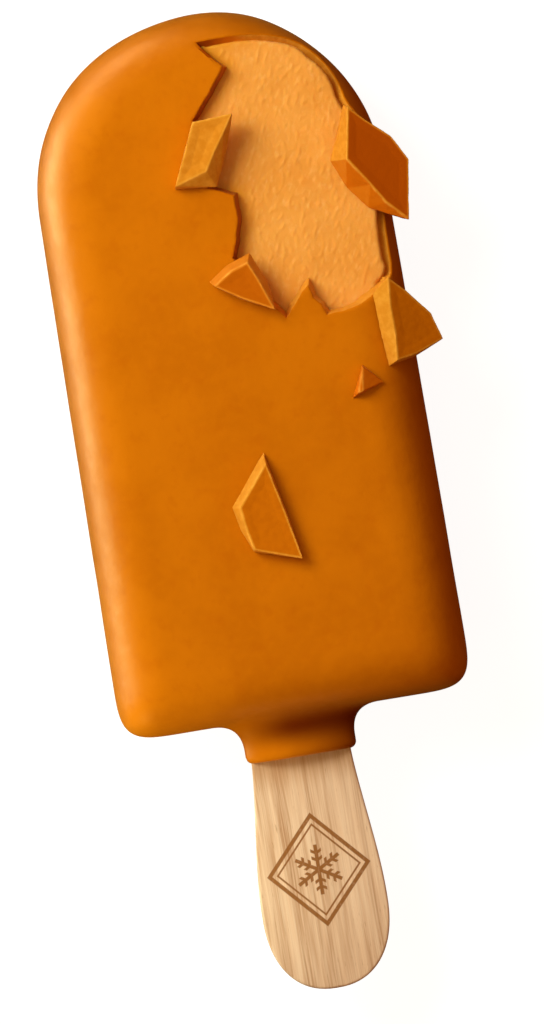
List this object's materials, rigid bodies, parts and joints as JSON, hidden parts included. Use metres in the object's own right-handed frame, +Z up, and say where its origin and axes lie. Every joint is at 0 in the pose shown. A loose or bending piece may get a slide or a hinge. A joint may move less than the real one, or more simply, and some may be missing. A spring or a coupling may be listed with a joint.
{
  "type": "coated ice cream bar on a wooden stick",
  "caption": "Ice cream bar with a caramel coating, broken open at one shoulder with loose shards, on a flat wooden stick; lies on its back.",
  "frame": {"origin": "middle of the bar's flat back, on the surface that it lies on", "axes": "+Y along the bar to its rounded tip, away from the stick; +Z up, out of the broken front; +X towards the broken side"},
  "size_m": [0.053, 0.1367, 0.027],
  "materials": {
    "coating": "satin caramel glaze, smooth with faint unevenness",
    "broken_coating": "snapped caramel glaze, smooth faces and grainy broken edges",
    "ice_cream": "soft and finely bumpy",
    "stick": "plain birch with fine straight grain"
  },
  "bodies": {
    "root": {"coating": "coating", "ice_cream": "ice_cream", "stick": "stick", "shard_left": "broken_coating", "shard_right": "broken_coating", "shard_low_left": "broken_coating", "shard_low_right": "broken_coating", "chip": "broken_coating", "shard_middle": "broken_coating"}
  },
  "joints": []
}
